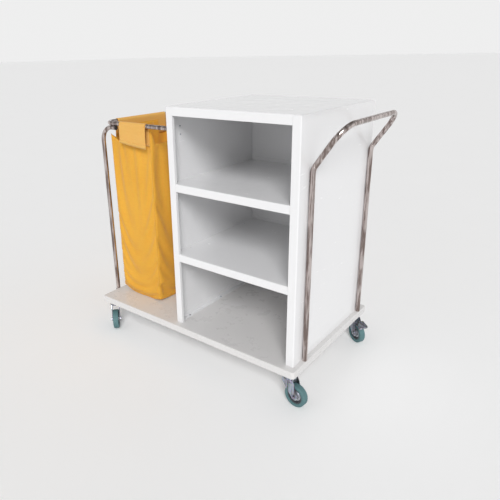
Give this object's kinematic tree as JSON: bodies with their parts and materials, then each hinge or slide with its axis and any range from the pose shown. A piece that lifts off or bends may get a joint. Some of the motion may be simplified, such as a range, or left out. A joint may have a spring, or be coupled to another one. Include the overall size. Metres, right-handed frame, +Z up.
{
  "type": "housekeeping cart",
  "caption": "Wheeled housekeeping cart: folded sheet deck on swivel casters, open shelf cabinet, tube push handle, and a cloth laundry bag hung from a tube rail.",
  "frame": {"origin": "middle of the cart's bounding box, on the floor under the wheels", "axes": "+X towards the push handle, +Y towards the cabinet's closed back, +Z up"},
  "size_m": [1.1766, 0.6626, 1.066],
  "materials": {
    "deck_paint": "satin",
    "cabinet_paint": "gloss",
    "chrome": "polished",
    "zinc": "satin",
    "tyre": "matte",
    "wheel_centre": "satin",
    "cap": "matte",
    "cloth": "woven"
  },
  "bodies": {
    "cart": {"deck_pan": "deck_paint", "channel_left": "deck_paint", "channel_mid": "deck_paint", "channel_right": "deck_paint", "cab_left": "cabinet_paint", "cab_right": "cabinet_paint", "cab_back": "cabinet_paint", "cab_top": "cabinet_paint", "shelf_upper": "cabinet_paint", "shelf_lower": "cabinet_paint", "shelf_brackets": "zinc", "shelf_screws": "zinc", "base_angles": "cabinet_paint", "base_bolts": "zinc", "back_rivets": "cabinet_paint", "push_handle": "chrome", "handle_plugs": "cap", "handle_bolts": "zinc", "handle_screws": "zinc", "bag_rail": "chrome", "rail_flanges": "chrome", "rail_screws": "zinc", "post_front": "chrome", "post_back": "chrome", "post_caps": "cap", "post_saddles": "chrome", "saddle_screws": "zinc", "laundry_bag": "cloth", "flap_front": "cloth", "flap_left": "cloth", "flap_back": "cloth", "caster_bolts": "zinc", "plate_fr": "zinc", "kingpin_fr": "zinc", "plate_br": "zinc", "kingpin_br": "zinc", "plate_fl": "zinc", "kingpin_fl": "zinc", "plate_bl": "zinc", "kingpin_bl": "zinc"},
    "fork_fr": {"fork_fr": "zinc", "axle_fr": "zinc"},
    "wheel_fr": {"core_fr": "wheel_centre", "tyre_fr": "tyre"},
    "fork_br": {"fork_br": "zinc", "axle_br": "zinc", "pedal_pin_br": "zinc"},
    "wheel_br": {"core_br": "wheel_centre", "tyre_br": "tyre"},
    "pedal_br": {"pedal_br": "zinc"},
    "fork_fl": {"fork_fl": "zinc", "axle_fl": "zinc"},
    "wheel_fl": {"core_fl": "wheel_centre", "tyre_fl": "tyre"},
    "fork_bl": {"fork_bl": "zinc", "axle_bl": "zinc", "pedal_pin_bl": "zinc"},
    "wheel_bl": {"core_bl": "wheel_centre", "tyre_bl": "tyre"},
    "pedal_bl": {"pedal_bl": "zinc"}
  },
  "joints": [
    {"name": "swivel_fr", "type": "hinge", "parent": "cart", "child": "fork_fr", "pos_m": [0.45085, -0.26974, 0.11], "axis": [0, 0, 1], "continuous": true},
    {"name": "roll_fr", "type": "hinge", "parent": "fork_fr", "child": "wheel_fr", "pos_m": [0.48367, -0.27319, 0.045], "axis": [0.1045, 0.9945, 0], "continuous": true},
    {"name": "swivel_br", "type": "hinge", "parent": "cart", "child": "fork_br", "pos_m": [0.45085, 0.29226, 0.11], "axis": [0, 0, 1], "continuous": true},
    {"name": "roll_br", "type": "hinge", "parent": "fork_br", "child": "wheel_br", "pos_m": [0.47943, 0.27576, 0.045], "axis": [0.5, 0.866, 0], "continuous": true},
    {"name": "brake_br", "type": "hinge", "parent": "fork_br", "child": "pedal_br", "pos_m": [0.46471, 0.28426, 0.101], "axis": [0.5, 0.866, 0], "range_deg": [0, 10]},
    {"name": "swivel_fl", "type": "hinge", "parent": "cart", "child": "fork_fl", "pos_m": [-0.52915, -0.26974, 0.11], "axis": [0, 0, 1], "continuous": true},
    {"name": "roll_fl", "type": "hinge", "parent": "fork_fl", "child": "wheel_fl", "pos_m": [-0.50541, -0.29266, 0.045], "axis": [0.6947, 0.7193, 0], "continuous": true},
    {"name": "swivel_bl", "type": "hinge", "parent": "cart", "child": "fork_bl", "pos_m": [-0.52915, 0.29226, 0.11], "axis": [0, 0, 1], "continuous": true},
    {"name": "roll_bl", "type": "hinge", "parent": "fork_bl", "child": "wheel_bl", "pos_m": [-0.49615, 0.29226, 0.045], "axis": [0, 1, 0], "continuous": true},
    {"name": "brake_bl", "type": "hinge", "parent": "fork_bl", "child": "pedal_bl", "pos_m": [-0.51315, 0.29226, 0.101], "axis": [0, 1, 0], "range_deg": [0, 10]}
  ]
}
